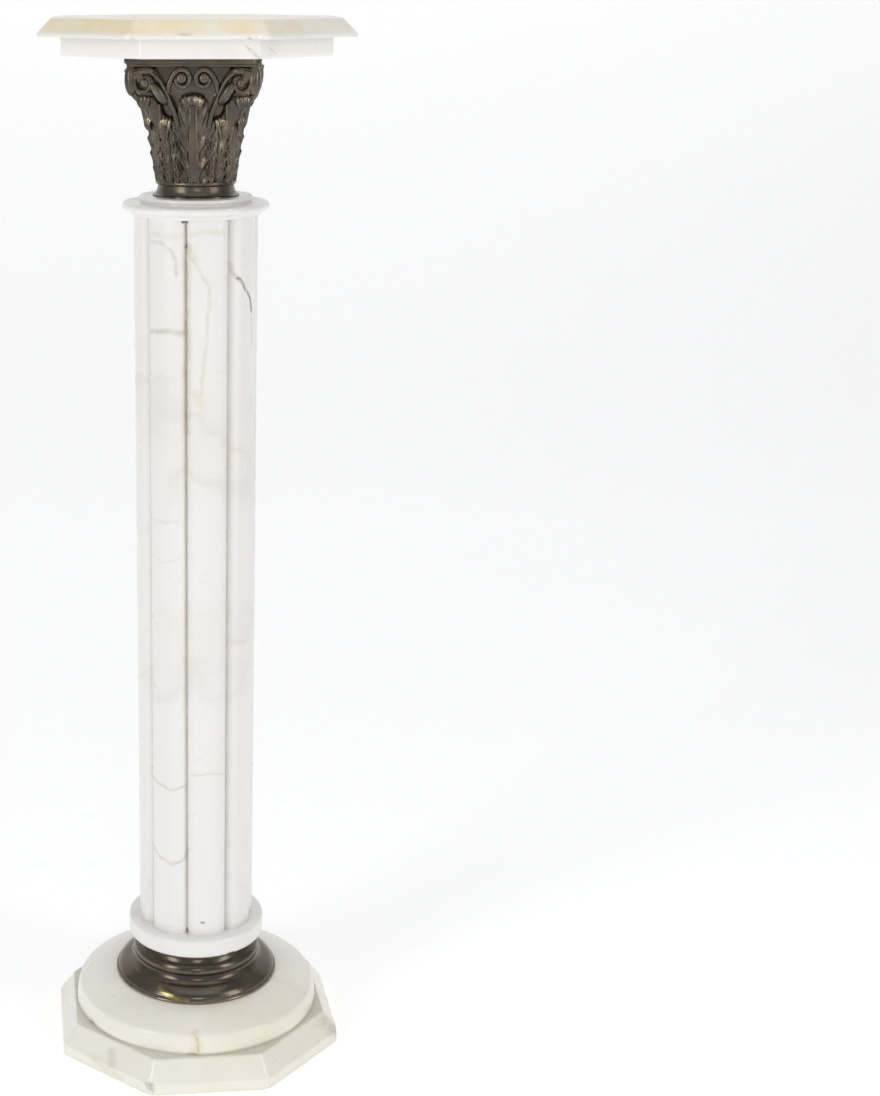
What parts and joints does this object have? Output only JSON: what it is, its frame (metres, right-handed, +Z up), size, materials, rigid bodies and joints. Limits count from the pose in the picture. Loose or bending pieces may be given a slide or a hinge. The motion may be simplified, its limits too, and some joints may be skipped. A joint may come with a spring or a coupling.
{
  "type": "pedestal column",
  "caption": "Tall marble pedestal column with a reeded shaft, octagonal stepped base and bevelled top, bronze leaf capital and bronze base ring.",
  "frame": {"origin": "centre of the underside of the plinth, on the floor", "axes": "+Z up the column's axis; the flats of the octagonal top are square to X and Y, with the seen front towards -Y; the plinth is turned 4.2 degrees from them"},
  "size_m": [0.3134, 0.3134, 1.1],
  "materials": {
    "marble": "polished white marble with fine warm brown and grey veins",
    "marble_base": "polished cream-white marble, edges chipped and a little stained",
    "marble_top": "polished cream marble with ochre clouding on the bevel",
    "bronze": "cast bronze, dark brown patina, rubbed golden on the high places"
  },
  "bodies": {
    "root": {"plinth": "marble_base", "plinth_disc": "marble_base", "base_ring": "bronze", "lower_collar": "marble", "shaft": "marble", "upper_collar": "marble", "capital": "bronze", "bed_slab": "marble", "top_slab": "marble_top"}
  },
  "joints": []
}
